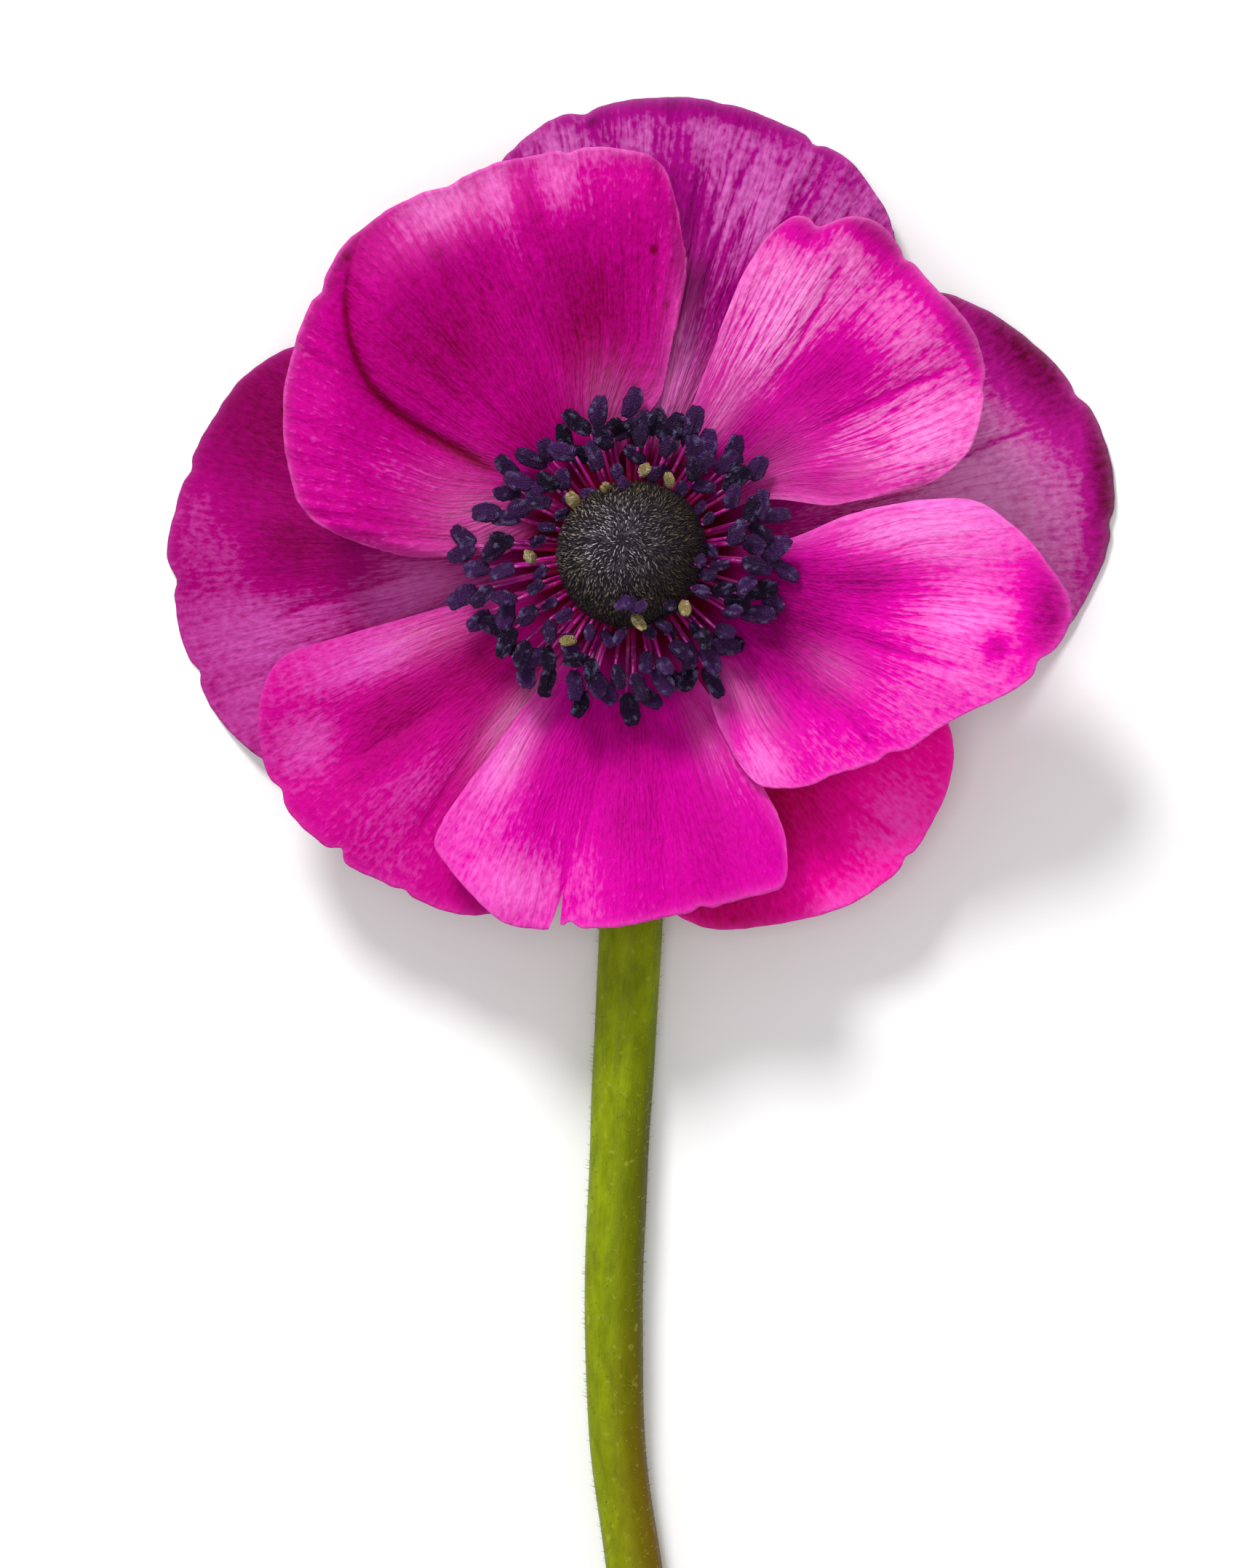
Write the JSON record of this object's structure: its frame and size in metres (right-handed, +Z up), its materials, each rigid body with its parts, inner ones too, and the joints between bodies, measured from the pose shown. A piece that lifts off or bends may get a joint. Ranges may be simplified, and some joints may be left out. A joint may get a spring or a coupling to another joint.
{
  "type": "anemone flower",
  "caption": "Open magenta anemone on a cut stem: overlapping tepals, a ring of dark stamens and a domed boss of carpels. It lies on its stem with the face up.",
  "frame": {"origin": "middle of the lying flower's outer box, on the surface it rests on", "axes": "+Y from the cut end of the stem towards the head, +Z up, the way the open face looks"},
  "size_m": [0.089, 0.1654, 0.0265],
  "materials": {
    "tepal_front": "satin",
    "tepal_back": "satin",
    "stem": "satin",
    "carpels": "matte",
    "stamens": "matte"
  },
  "bodies": {
    "root": {"stem": "stem", "carpel_boss": "carpels", "stamens_outer": "stamens", "stamens_second": "stamens", "stamens_third": "stamens", "stamens_inner": "stamens", "tepal_upper_left": "tepal_front", "tepal_upper_right": "tepal_front", "tepal_lower_right_front": "tepal_front", "tepal_bottom": "tepal_front", "tepal_top": "tepal_back", "tepal_right": "tepal_back", "tepal_lower_right_back": "tepal_back", "tepal_lower_left": "tepal_back", "tepal_left": "tepal_back"}
  },
  "joints": []
}
